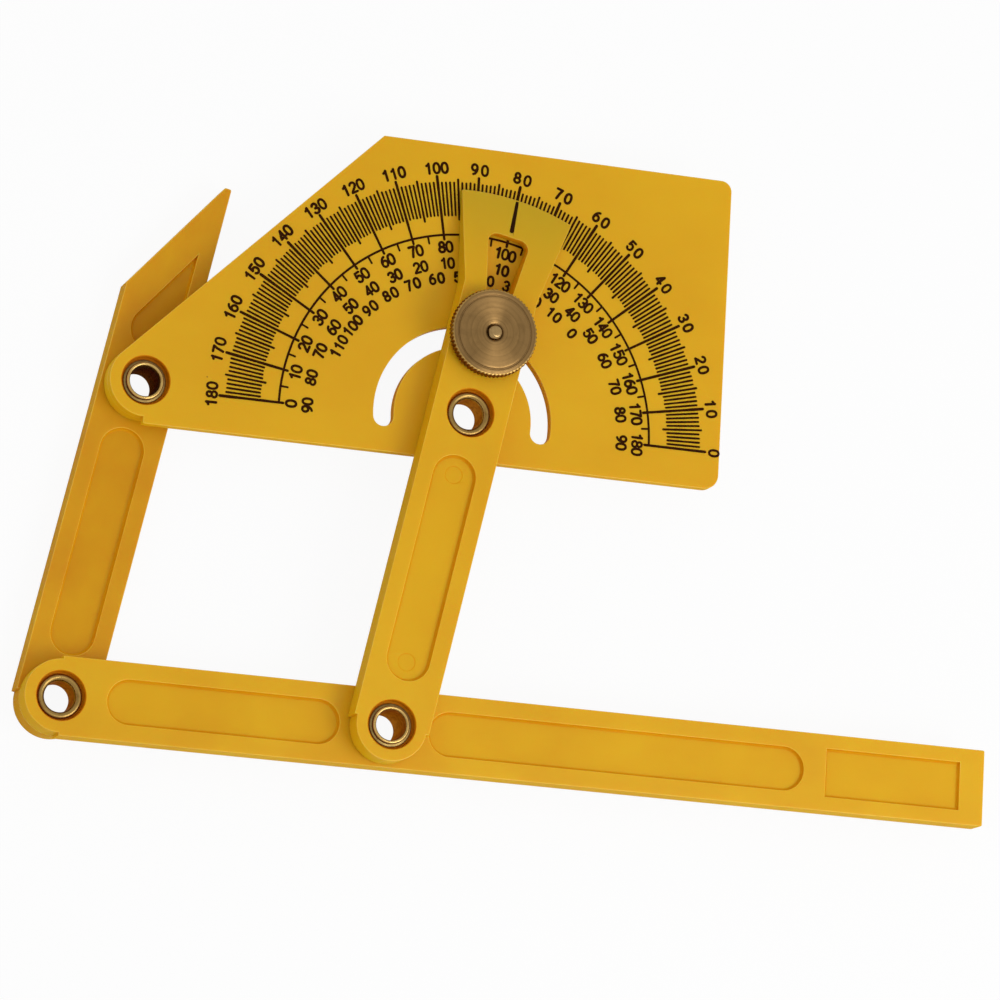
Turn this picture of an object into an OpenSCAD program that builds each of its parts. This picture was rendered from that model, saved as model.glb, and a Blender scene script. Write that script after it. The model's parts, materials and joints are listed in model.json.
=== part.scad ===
// Angle finder: a protractor plate and three hinged arms that stay parallel in pairs.
// The origin is the centre pivot at the scale face. X runs along the base line, Y to the
// 90 degree mark and Z out of the scale face.

/* [Linkage] */
// Distance from each pivot to the next, along the plate and along the arms
pivot_spacing = 87.5; // [80:0.5:100]
// Angle of the pointer arm from the base line of the plate
arm_angle = 79; // [30:1:150]
// Gap between one layer of arms and the next
layer_gap = 0.3; // [0.25:0.05:0.6]

/* [Arms] */
// Width of each arm
arm_w = 21; // [19:0.5:24]
// Thickness of each arm
arm_t = 7; // [6.5:0.25:9]
// How far each round end stays inside the sides of its arm
end_step = 0.8; // [0.4:0.1:1.2]
// Reach of the long arm past the elbow pivot
long_reach = 171; // [160:1:200]
// Reach of the pointed arm past the nose pivot
pointed_reach = 59.4; // [54:0.2:70]
// Angle between the slanted edge of the pointed arm and its straight side
point_angle = 30; // [28:1:38]
// Width of the blunt tip
point_blunt = 1.8; // [0.6:0.1:2]

/* [Pockets] */
// Width of the long pockets
pocket_w = 12; // [9:0.5:13]
// Plastic left between the pockets of the two faces
web_t = 4.6; // [3:0.1:5.4]
// Distance from a pivot to the end of a long pocket
pocket_margin = 12.25; // [11:0.25:16]
// Length of the square pocket near the end of the long arm
end_pocket_l = 39; // [30:1:44]
// Width of the square pocket near the end of the long arm
end_pocket_w = 13.2; // [10:0.2:14]
// Distance from the square end of the long arm to its square pocket
end_pocket_inset = 7.1; // [5:0.1:10]
// Plastic left between the two right pockets of the long arm
pocket_bridge = 6.4; // [4:0.2:10]
// Distance from the nose pivot to the round end of the pocket behind the point
point_pocket_start = 9.5; // [9:0.1:12]
// Width of the pocket behind the point
point_pocket_w = 12.6; // [10:0.2:13]
// Radius of the round marks left by the ejector pins
pin_mark_r = 2.35; // [1.5:0.05:3]
// Depth of the marks left by the ejector pins
pin_mark_depth = 0.15; // [0.05:0.05:0.3]

/* [Plate] */
// Thickness of the protractor plate
plate_t = 3; // [2.5:0.25:4]
// Distance from the line of the pivots down to the bottom edge
plate_drop = 11.6; // [11:0.1:12.5]
// Distance from the line of the pivots up to the top edge
plate_rise = 74.9; // [72:0.1:80]
// Distance from the centre pivot to the right edge
plate_reach = 73.4; // [70:0.1:80]
// Radius of the top right corner
top_corner_r = 3; // [1:0.25:6]
// Radius of the bottom right corner
bottom_corner_r = 4; // [1:0.25:6]
// Radius of the middle of the curved slot
slot_r = 22.1; // [21:0.1:26]
// Width of the curved slot
slot_w = 5.6; // [5:0.1:6.4]
// How far the slot runs on past the base line at each end
slot_extra = 5; // [0:1:10]

/* [Pointer head] */
// Radius of the head's outer edge about the centre pivot
head_r = 62.6; // [58:0.1:68]
// Distance from the centre pivot at which the head starts to widen and to thin
head_start = 35; // [34.5:0.5:40]
// Angle at which each side of the head widens
head_flare = 12.2; // [6:0.2:16]
// Thickness of the head at its outer edge
head_tip_t = 0.7; // [0.5:0.05:1.5]
// Distance from the centre pivot to the outer end of the window
window_end = 51.2; // [46:0.1:54]
// Distance from the centre pivot to the inner end of the window
window_start = 30; // [29.5:0.5:33]
// Width of the window at its outer end
window_w = 12.2; // [8:0.2:13]
// Width of the window at its inner end
window_neck_w = 6.2; // [4:0.2:8]
// Radius of the corners of the window
window_corner_r = 2.6; // [0.5:0.1:2.8]
// How far the window lies to the left of the middle line of the arm
window_shift = 0.4; // [-0.5:0.1:0.5]

/* [Pivots] */
// Inner radius of each eyelet
eyelet_bore_r = 4.1; // [3.5:0.05:4.3]
// Wall of each eyelet
eyelet_wall = 0.6; // [0.4:0.05:0.8]
// Radius of the flange of each eyelet
flange_r = 5.9; // [5.7:0.05:6.1]
// Thickness of the flange
flange_t = 0.6; // [0.4:0.05:0.8]
// Radius of the round mouth in the flange
mouth_r = 1.1; // [0.8:0.05:1.2]
// Radius of the rolled lip
curl_r = 0.5; // [0.4:0.05:0.6]
// Radius of the ring washer under the rolled lip
ring_r = 5.8; // [5.6:0.05:6.1]
// Thickness of the ring washer
ring_t = 0.4; // [0.3:0.05:0.5]
// Radius of the recess round each eyelet
recess_r = 6.5; // [6.3:0.05:7]
// Depth of the recess round each eyelet, on the face towards the reader
recess_depth = 2; // [1.8:0.05:2.4]
// Depth of the recess behind the nose pivot and the elbow pivot
back_recess_depth = 1; // [0.8:0.05:1.6]
// Plastic left between the two sides of the centre pivot in the plate
plate_seat_t = 1.5; // [1.2:0.05:1.5]
// Radius of each friction washer
friction_r = 8.5; // [7:0.1:9]

/* [Clamp] */
// Radius of the thumb nut
nut_r = 11.95; // [10:0.05:12.5]
// Height of the thumb nut
nut_h = 4.1; // [3:0.1:6]
// Number of ridges of the knurl
knurl_count = 68; // [60:1:110]
// Depth of the knurl
knurl_depth = 0.35; // [0.1:0.05:0.4]
// Radius of the groove on top of the thumb nut
groove_r = 9.6; // [7:0.1:9.8]
// Radius of the threaded shank of the bolt
shank_r = 1.95; // [1.5:0.05:2.2]
// How far the tip of the bolt stands out of the thumb nut
tip_out = 0.9; // [0.2:0.1:2]
// Width across the square neck of the bolt
neck_w = 5.1; // [4.4:0.05:5.2]
// Radius of the head of the bolt
bolt_head_r = 4.6; // [3.9:0.1:5.5]
// Height of the head of the bolt
bolt_head_h = 2; // [1.5:0.1:2.8]
// Radius of the clamp washer
clamp_washer_r = 6; // [4.5:0.1:7]
// Thickness of the clamp washer
clamp_washer_t = 0.6; // [0.4:0.1:1]

/* [Hidden] */
$fn = 96;

// Clearances between pieces that turn on each other, and between pieces held together
running = 0.06;
snug = 0.02;
open_clearance = 0.2;
face_float = 0.04;
neck_clearance = 0.1;
// How far a cut runs past the surface that it opens
overrun = 1;

// Heights of the layers: the plate and the long arm lie between the other two arms
middle_z = -arm_t;
top_z = layer_gap;
low_z = -2 * arm_t - layer_gap;
top_face_z = top_z + arm_t;
stack_t = 2 * arm_t + layer_gap;

// Places of the pivots
arm_dir = [cos(arm_angle), sin(arm_angle)];
centre_at = [0, 0];
nose_at = [-pivot_spacing, 0];
elbow_at = -pivot_spacing * arm_dir;
tail_at = nose_at + elbow_at;

arm_end_r = arm_w / 2 - end_step;
pocket_depth = (arm_t - web_t) / 2;

// Eyelets: what the long pair and the short pair hold together, from seat to seat
tube_r = eyelet_bore_r + eyelet_wall;
long_grip = stack_t - recess_depth - back_recess_depth;
short_grip = arm_t + layer_gap + plate_seat_t - recess_depth;
plate_recess_depth = plate_t - plate_seat_t;
tail_recess_depth = stack_t - recess_depth - short_grip;
nose_seat_z = low_z + back_recess_depth;
elbow_seat_z = middle_z + back_recess_depth;
centre_seat_z = top_face_z - recess_depth;
tail_seat_z = -recess_depth;
friction_t = layer_gap - 2 * face_float;
ring_edge = ring_t / 2;
arc_steps = 6;

// Places along the pointer arm
pocket_l = pivot_spacing - 2 * pocket_margin;
pin_mark_inset = 5.2;
head_drop_angle = atan((arm_t - head_tip_t) / (head_r - head_start));

// Places along the pointed arm and the long arm
point_run = (arm_w - point_blunt) / tan(point_angle);
long_pocket_end = long_reach - end_pocket_inset - end_pocket_l - pocket_bridge;

// Details of the thumb nut and the bolt
nut_z = top_face_z + clamp_washer_t + 2 * face_float;
nut_top_z = nut_z + nut_h;
nut_hole_r = shank_r + running;
nut_sink = 0.35;
nut_rim_drop = 0.35;
nut_edge = 0.45;
nut_foot_r = clamp_washer_r + nut_edge;
nut_foot_h = 0.4;
groove_w = 0.7;
groove_depth = 0.35;
tip_chamfer = 0.5;
bolt_hole_r = shank_r + open_clearance;
bolt_head_edge = 0.7;
bolt_head_z = -plate_t - face_float;

plastic = [0.84, 0.61, 0.12];
brass = [0.66, 0.52, 0.28];
nylon = [0.9, 0.88, 0.82];

// Points of an arc from one angle to another
function arc(at, r, from, to) =
    [for (i = [0 : arc_steps]) at + r * [cos(from + (to - from) * i / arc_steps),
        sin(from + (to - from) * i / arc_steps)]];

// Places what is drawn along X at a pivot, in line with the arms
module at_pivot(place, z) {
    translate([place[0], place[1], z]) rotate([0, 0, arm_angle]) children();
}

// A bar with one round end at x = 0 that is a little narrower than the bar
module bar_outline(reach) {
    circle(r = arm_end_r);
    translate([0, -arm_w / 2]) square([reach, arm_w]);
}

// A slot with round ends from one x to another
module stadium(from, to, w) {
    translate([from + w / 2, -w / 2]) square([to - from - w, w]);
    translate([from + w / 2, 0]) circle(d = w);
    translate([to - w / 2, 0]) circle(d = w);
}

// Cuts a pocket of the shape given into both faces of an arm
module both_faces() {
    translate([0, 0, arm_t - pocket_depth]) linear_extrude(pocket_depth + overrun) children();
    translate([0, 0, -overrun]) linear_extrude(pocket_depth + overrun) children();
}

// Cuts the marks of the two ejector pins into the floor of a pocket
module pin_marks(from, to) {
    for (x = [from + pin_mark_inset, to - pin_mark_inset])
        translate([x, 0, arm_t - pocket_depth - pin_mark_depth])
            cylinder(r = pin_mark_r, h = pin_mark_depth + pocket_depth);
}

// Cuts a pivot hole with a recess of the depth given on the upper face of a layer
module pivot_cut_up(hole_r, bottom, top, depth) {
    translate([0, 0, bottom - overrun]) cylinder(r = hole_r, h = top - bottom + 2 * overrun);
    translate([0, 0, top - depth]) cylinder(r = recess_r, h = depth + overrun);
}

// Cuts a pivot hole with a recess of the depth given on the lower face of a layer
module pivot_cut_down(hole_r, bottom, top, depth) {
    translate([0, 0, bottom - overrun]) cylinder(r = hole_r, h = top - bottom + 2 * overrun);
    translate([0, 0, bottom - overrun]) cylinder(r = recess_r, h = depth + overrun);
}

// A round corner, turned so that its circle starts inside the plate
module round_corner(at, r) {
    translate(at) rotate(180) circle(r = r);
}

// The plate without its round nose
module plate_outline() {
    corner = nose_at + arm_end_r * [-cos(45), sin(45)];
    slant_top = [corner[0] + plate_rise - corner[1], plate_rise];
    right_top = [plate_reach, plate_rise];
    right_bottom = [plate_reach, -plate_drop];
    polygon([nose_at, corner, slant_top, right_top - [top_corner_r, 0],
        right_top - [0, top_corner_r], right_bottom + [0, bottom_corner_r],
        right_bottom - [bottom_corner_r, 0], [nose_at[0], -plate_drop]]);
    round_corner(right_top - [top_corner_r, top_corner_r], top_corner_r);
    round_corner(right_bottom + [-bottom_corner_r, bottom_corner_r], bottom_corner_r);
}

// The curved slot, open at both ends past the base line
module slot_cut() {
    span = 180 + 2 * slot_extra;
    translate([0, 0, -plate_t - overrun]) {
        rotate([0, 0, -slot_extra]) rotate_extrude(angle = span)
            translate([slot_r - slot_w / 2, 0]) square([slot_w, plate_t + 2 * overrun]);
        for (a = [-slot_extra, 180 + slot_extra])
            rotate([0, 0, a]) translate([slot_r, 0]) cylinder(d = slot_w, h = plate_t + 2 * overrun);
    }
}

module protractor_plate() {
    color(plastic) difference() {
        union() {
            translate([0, 0, -plate_t]) linear_extrude(plate_t) plate_outline();
            translate([nose_at[0], nose_at[1], middle_z]) cylinder(r = arm_end_r, h = arm_t);
        }
        slot_cut();
        translate([nose_at[0], nose_at[1], 0]) pivot_cut_up(tube_r + snug, middle_z, 0, recess_depth);
        pivot_cut_down(tube_r + snug, -plate_t, 0, plate_recess_depth);
    }
}

// The straight sides of the pointer arm and its flared head, before the head's edge is cut to an arc
module pointer_outline() {
    far = head_r + overrun;
    side = arm_w / 2 + (far - head_start) * tan(head_flare);
    polygon([[-pivot_spacing, arm_w / 2], [head_start, arm_w / 2], [far, side],
        [far, -side], [head_start, -arm_w / 2], [-pivot_spacing, -arm_w / 2]]);
}

module head_edge_cut() {
    rotate_extrude(angle = 90, start = -45)
        translate([head_r, -overrun]) square([arm_w / 2, arm_t + 2 * overrun]);
}

module window_outline() {
    half = window_w / 2;
    neck = window_neck_w / 2;
    lean = atan((half - neck) / (window_end - window_start));
    r = window_corner_r;
    top_y = half - r / cos(lean) - r * tan(lean);
    low_y = neck - r / cos(lean) + r * tan(lean);
    polygon(concat(
        arc([window_end - r, top_y], r, 0, 90 + lean),
        arc([window_start + r, low_y], r, 90 + lean, 180),
        arc([window_start + r, -low_y], r, 180, 270 - lean),
        arc([window_end - r, -top_y], r, 270 - lean, 360)));
}

module pointer_arm() {
    color(plastic) at_pivot(centre_at, top_z) difference() {
        union() {
            linear_extrude(arm_t) pointer_outline();
            translate([-pivot_spacing, 0, 0]) cylinder(r = arm_end_r, h = arm_t);
        }
        head_edge_cut();
        translate([head_start, -head_r, arm_t]) rotate([0, head_drop_angle, 0])
            cube([2 * head_r, 2 * head_r, arm_t]);
        translate([0, window_shift, -overrun])
            linear_extrude(arm_t + 2 * overrun) window_outline();
        both_faces() stadium(pocket_margin - pivot_spacing, -pocket_margin, pocket_w);
        pin_marks(pocket_margin - pivot_spacing, -pocket_margin);
        pivot_cut_up(tube_r + running, 0, arm_t, recess_depth);
        translate([-pivot_spacing, 0, 0]) pivot_cut_up(tube_r + snug, 0, arm_t, recess_depth);
        translate([slot_r, 0, -overrun]) cylinder(r = bolt_hole_r, h = arm_t + 2 * overrun);
    }
}

module long_arm() {
    pocket_end = pivot_spacing - pocket_margin;
    color(plastic) translate([tail_at[0], tail_at[1], middle_z]) difference() {
        linear_extrude(arm_t) bar_outline(pivot_spacing + long_reach);
        both_faces() {
            stadium(pocket_margin, pocket_end, pocket_w);
            stadium(pivot_spacing + pocket_margin, pivot_spacing + long_pocket_end, pocket_w);
            translate([pivot_spacing + long_reach - end_pocket_inset - end_pocket_l, -end_pocket_w / 2])
                square([end_pocket_l, end_pocket_w]);
        }
        pivot_cut_up(tube_r + open_clearance, 0, arm_t, recess_depth);
        translate([pivot_spacing, 0, 0]) pivot_cut_down(tube_r + running, 0, arm_t, back_recess_depth);
    }
}

module pointed_outline() {
    reach = pivot_spacing + pointed_reach;
    circle(r = arm_end_r);
    polygon([[0, arm_w / 2], [0, -arm_w / 2], [reach, -arm_w / 2],
        [reach, point_blunt - arm_w / 2], [reach - point_run, arm_w / 2]]);
}

// The pocket behind the point: round near the nose pivot, with one side along the slanted edge
module point_pocket() {
    r = point_pocket_w / 2;
    at_x = pivot_spacing + point_pocket_start + r;
    translate([at_x, 0]) circle(r = r);
    polygon([[at_x, -r], [at_x + r * (1 + cos(point_angle)) / sin(point_angle), -r],
        [at_x + r * sin(point_angle), r * cos(point_angle)], [at_x, 0]]);
}

module pointed_arm() {
    color(plastic) at_pivot(tail_at, low_z) difference() {
        linear_extrude(arm_t) pointed_outline();
        both_faces() {
            stadium(pocket_margin, pivot_spacing - pocket_margin, pocket_w);
            point_pocket();
        }
        pivot_cut_down(tube_r + snug, 0, arm_t, tail_recess_depth);
        translate([pivot_spacing, 0, 0]) pivot_cut_down(tube_r + running, 0, arm_t, back_recess_depth);
    }
}

// Outline of an eyelet: flange and mouth below its seat at height zero, rolled lip above
module eyelet_profile(grip) {
    base = -flange_t - face_float;
    lip_z = grip + ring_t + curl_r + 2 * face_float;
    polygon(concat(
        [[flange_r, base + flange_t], [flange_r, base]],
        arc([eyelet_bore_r + mouth_r, base + mouth_r], mouth_r, 270, 180),
        arc([eyelet_bore_r + curl_r, lip_z], curl_r, 180, -60),
        [[tube_r, lip_z - curl_r], [tube_r, base + flange_t]]));
}

// Puts what is drawn from the seat of a flange on at a pivot, with its rolled lip up or down
module on_seat(place, seat_z, lip_up) {
    translate([place[0], place[1], seat_z]) rotate([lip_up ? 0 : 180, 0, 0]) children();
}

module eyelet(place, seat_z, grip, lip_up) {
    color(brass) on_seat(place, seat_z, lip_up) rotate_extrude() eyelet_profile(grip);
}

module ring_washer(place, seat_z, grip, lip_up) {
    hole_r = tube_r + snug;
    color(brass) on_seat(place, seat_z, lip_up) translate([0, 0, grip + face_float])
        rotate_extrude() polygon([[hole_r, 0], [ring_r, 0], [ring_r, ring_edge],
            [ring_r - ring_edge, ring_t], [hole_r, ring_t]]);
}

module friction_washer(place, bottom) {
    color(nylon) translate([place[0], place[1], bottom + arm_t + face_float]) difference() {
        cylinder(r = friction_r, h = friction_t);
        translate([0, 0, -overrun]) cylinder(r = tube_r + running, h = friction_t + 2 * overrun);
    }
}

module clamp_bolt() {
    shank_top = nut_top_z + tip_out;
    neck_top = -layer_gap;
    head_base = bolt_head_z - bolt_head_h;
    color(brass) at_pivot(centre_at, 0) translate([slot_r, 0, 0]) {
        rotate_extrude() polygon([[0, head_base], [bolt_head_r - 2 * bolt_head_edge, head_base],
            [bolt_head_r - bolt_head_edge / 2, head_base + bolt_head_edge],
            [bolt_head_r, bolt_head_z - bolt_head_edge / 2], [bolt_head_r, bolt_head_z],
            [shank_r, bolt_head_z], [shank_r, shank_top - tip_chamfer],
            [shank_r - tip_chamfer, shank_top], [0, shank_top]]);
        translate([-neck_w / 2, -neck_w / 2, bolt_head_z - bolt_head_edge / 2])
            cube([neck_w, neck_w, neck_top - bolt_head_z + bolt_head_edge / 2]);
    }
}

module clamp_washer() {
    color(brass) at_pivot(centre_at, top_face_z + face_float) translate([slot_r, 0, 0]) difference() {
        cylinder(r = clamp_washer_r, h = clamp_washer_t);
        translate([0, 0, -overrun]) cylinder(r = bolt_hole_r, h = clamp_washer_t + 2 * overrun);
    }
}

// Round edge of the thumb nut with its ridges
module knurl_outline() {
    polygon([for (i = [0 : 2 * knurl_count - 1])
        (nut_r - (i % 2) * knurl_depth) * [cos(180 * i / knurl_count), sin(180 * i / knurl_count)]]);
}

module thumb_nut() {
    color(brass) at_pivot(centre_at, nut_z) translate([slot_r, 0, 0]) intersection() {
        linear_extrude(nut_h) knurl_outline();
        rotate_extrude() polygon([[nut_hole_r, 0], [nut_foot_r, 0], [nut_foot_r, nut_foot_h],
            [nut_r - nut_edge, nut_foot_h], [nut_r + nut_edge, nut_foot_h + 2 * nut_edge],
            [nut_r + nut_edge, nut_h - nut_rim_drop - 2 * nut_edge],
            [nut_r - nut_edge, nut_h - nut_rim_drop],
            [groove_r + groove_w / 2, nut_h], [groove_r, nut_h - groove_depth],
            [groove_r - groove_w / 2, nut_h], [nut_hole_r + nut_sink, nut_h],
            [nut_hole_r, nut_h - nut_sink]]);
    }
}

protractor_plate();
pointer_arm();
long_arm();
pointed_arm();
eyelet(nose_at, nose_seat_z, long_grip, true);  // nose_eyelet
eyelet(centre_at, centre_seat_z, short_grip, false);  // centre_eyelet
eyelet(elbow_at, elbow_seat_z, long_grip, true);  // elbow_eyelet
eyelet(tail_at, tail_seat_z, short_grip, false);  // tail_eyelet
ring_washer(nose_at, nose_seat_z, long_grip, true);  // nose_ring_washer
ring_washer(centre_at, centre_seat_z, short_grip, false);  // centre_ring_washer
ring_washer(elbow_at, elbow_seat_z, long_grip, true);  // elbow_ring_washer
ring_washer(tail_at, tail_seat_z, short_grip, false);  // tail_ring_washer
friction_washer(nose_at, low_z);  // nose_friction_washer
friction_washer(centre_at, middle_z);  // centre_friction_washer
friction_washer(elbow_at, middle_z);  // elbow_friction_washer
friction_washer(tail_at, low_z);  // tail_friction_washer
clamp_bolt();
clamp_washer();
thumb_nut();
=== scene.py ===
"""Looks of the angle finder: moulded plastic, turned brass, nylon and printed scale round the fixed frame."""
import json
import math
import random

import bpy
from mathutils import Euler, Matrix, Vector
from mathutils.geometry import delaunay_2d_cdt

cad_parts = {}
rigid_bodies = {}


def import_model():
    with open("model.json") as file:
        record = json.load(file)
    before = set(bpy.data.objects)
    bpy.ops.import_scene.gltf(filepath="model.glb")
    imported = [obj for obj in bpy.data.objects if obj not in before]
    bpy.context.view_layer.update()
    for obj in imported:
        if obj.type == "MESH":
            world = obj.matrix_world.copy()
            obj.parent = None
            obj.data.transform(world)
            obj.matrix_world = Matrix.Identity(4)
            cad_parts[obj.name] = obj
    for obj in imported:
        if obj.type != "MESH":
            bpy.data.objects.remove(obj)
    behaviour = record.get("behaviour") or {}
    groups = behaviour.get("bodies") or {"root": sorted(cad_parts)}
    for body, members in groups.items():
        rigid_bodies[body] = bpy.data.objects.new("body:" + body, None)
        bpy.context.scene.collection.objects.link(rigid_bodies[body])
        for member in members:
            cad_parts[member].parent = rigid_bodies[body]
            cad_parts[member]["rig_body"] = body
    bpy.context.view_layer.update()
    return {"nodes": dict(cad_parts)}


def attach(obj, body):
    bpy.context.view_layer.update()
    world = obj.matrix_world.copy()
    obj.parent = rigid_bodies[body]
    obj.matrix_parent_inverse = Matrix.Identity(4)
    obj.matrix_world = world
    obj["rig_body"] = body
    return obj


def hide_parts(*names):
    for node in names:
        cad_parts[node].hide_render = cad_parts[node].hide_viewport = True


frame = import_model()

MM = 0.001

# Sizes in millimetres, as in the solids
PIVOT = 87.5
ARM_ANGLE = math.radians(79)
ARM_W = 21.0
ARM_T = 7.0
GAP = 0.3
END_R = 9.7
LONG_REACH = 171.0
POINTED_REACH = 59.4
POINT_ANGLE = math.radians(30)
POINT_BLUNT = 1.8
POCKET_W = 12.0
POCKET_DEPTH = 1.2
POCKET_MARGIN = 12.25
END_POCKET_L = 39.0
END_POCKET_W = 13.2
END_POCKET_INSET = 7.1
POCKET_BRIDGE = 6.4
POINT_POCKET_START = 9.5
POINT_POCKET_W = 12.6
PIN_R = 2.35
PIN_INSET = 5.2
PLATE_T = 3.0
PLATE_DROP = 11.6
PLATE_RISE = 74.9
PLATE_REACH = 73.4
TOP_CORNER = 3.0
BOTTOM_CORNER = 4.0
SLOT_R = 22.1
SLOT_W = 5.6
SLOT_EXTRA = math.radians(5)
HEAD_R = 62.6
HEAD_START = 35.0
HEAD_FLARE = math.radians(12.2)
HEAD_TIP_T = 0.7
WINDOW_END = 51.2
WINDOW_START = 30.0
WINDOW_W = 12.2
WINDOW_NECK = 6.2
WINDOW_CORNER = 2.6
WINDOW_SHIFT = 0.4
BORE_R = 4.1
TUBE_R = 4.7
FLANGE_R = 5.9
FLANGE_T = 0.6
MOUTH_R = 1.1
CURL_R = 0.5
RING_R = 5.8
RING_T = 0.4
RECESS_R = 6.5
RECESS_DEPTH = 2.0
BACK_RECESS = 1.0
PLATE_RECESS = 1.5
TAIL_RECESS = 5.5
RUNNING = 0.06
SNUG = 0.02
LOOSE = 0.2
FLOAT = 0.04
NUT_R = 11.95
NUT_H = 4.1
KNURLS = 68
KNURL_DEPTH = 0.35
SHANK_R = 1.95
TIP_OUT = 0.9
NECK_W = 5.1
BOLT_HEAD_R = 4.6
BOLT_HEAD_H = 2.0
WASHER_T = 0.6

# Sizes in millimetres that are a little different in the solids
PIN_DEPTH = 0.12
GROOVE_R = 10.1

# Sizes in millimetres of what is only drawn here
CORNER = 0.5
RIM = 0.22
RIM_BACK = 0.18
POCKET_RIM = 0.16
FILLET = 0.6
DRAFT = 0.06
HOLE_EDGE = 0.2
HOLE_ROUND = 0.05
THREAD_PITCH = 0.7
THREAD_DEPTH = 0.3
PLATE_PINS = ((-60, -3), (-30, -3), (62, -3), (62, 60), (2, 62), (-38, 26), (44, 20))
INDEX_SIDE = 0.15
INDEX_START, INDEX_STOP = 51.85, 62.22
INDEX_HALF_START, INDEX_HALF_STOP = 0.66, 0.44
INDEX_DEPTH = 0.22
INDEX_CORNER = 0.15

# Heights of the layers, and the plastic that each kind of eyelet holds
MIDDLE_Z = -ARM_T
TOP_Z = GAP
LOW_Z = -2 * ARM_T - GAP
TOP_FACE = TOP_Z + ARM_T
NUT_Z = TOP_FACE + WASHER_T + 2 * FLOAT
LONG_GRIP = 11.3
SHORT_GRIP = 6.8

# Pivots and clamp in the plane, at rest
NOSE = Vector((-PIVOT, 0))
ARM_DIR = Vector((math.cos(ARM_ANGLE), math.sin(ARM_ANGLE)))
ELBOW = -PIVOT * ARM_DIR
TAIL = NOSE + ELBOW
CLAMP = SLOT_R * ARM_DIR


# Drawing in the plane
def arc(at, r, start, stop, n):
    """Points of an arc, angles in radians, ends included."""
    return [Vector((at[0] + r * math.cos(start + (stop - start) * i / n),
                    at[1] + r * math.sin(start + (stop - start) * i / n))) for i in range(n + 1)]


def line(*points):
    return [Vector(p) for p in points]


def turned(loop):
    return list(reversed(loop))


def rad(*degrees):
    return [math.radians(d) for d in degrees]


def offset(loop, d, hold=()):
    """Moves a closed loop towards the plastic, which lies on its left. Held points stay."""
    out = []
    for i, b in enumerate(loop):
        if i in hold or not d:
            out.append(b.copy())
            continue
        u = (b - loop[i - 1]).normalized()
        v = (loop[(i + 1) % len(loop)] - b).normalized()
        left_u, left_v = Vector((-u.y, u.x)), Vector((-v.y, v.x))
        out.append(b + (left_u + left_v) * (d / (1 + left_u.dot(left_v))))
    return out


def soften(loop, r, n=4):
    """Rounds the sharp corners of a loop."""
    out = []
    for i, b in enumerate(loop):
        a, c = loop[i - 1], loop[(i + 1) % len(loop)]
        u, v = (b - a), (c - b)
        bend = math.atan2(u.cross(v), u.dot(v))
        t = abs(math.tan(bend / 2)) * r
        if abs(bend) < 0.35 or t * 2.05 > min(u.length, v.length):
            out.append(b)
            continue
        u, v = u.normalized(), v.normalized()
        side = -1 if bend > 0 else 1
        centre = b - u * t + Vector((u.y, -u.x)) * (r * side)
        first, last = b - u * t, b + v * t
        start = math.atan2(first.y - centre.y, first.x - centre.x)
        stop = math.atan2(last.y - centre.y, last.x - centre.x)
        while stop - start > math.pi:
            stop -= math.tau
        while stop - start < -math.pi:
            stop += math.tau
        out += arc(centre, r, start, stop, n)
    return out


def stadium(x0, x1):
    """Outline of a long pocket with round ends, the plastic outside it."""
    r = POCKET_W / 2
    return turned(arc((x1 - r, 0), r, *rad(-90, 90), 20) + arc((x0 + r, 0), r, *rad(90, 270), 20))


def inside(p, flat, edges):
    """True where a point lies inside the loops, counted by the edges it crosses."""
    odd = False
    for i, j in edges:
        a, b = flat[i], flat[j]
        if (a.y > p.y) != (b.y > p.y) and p.x < (b.x - a.x) * (p.y - a.y) / (b.y - a.y) + a.x:
            odd = not odd
    return odd


# Meshes
def add(name, data):
    """A new object in the scene."""
    o = bpy.data.objects.new(name, data)
    bpy.context.scene.collection.objects.link(o)
    return o


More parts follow.
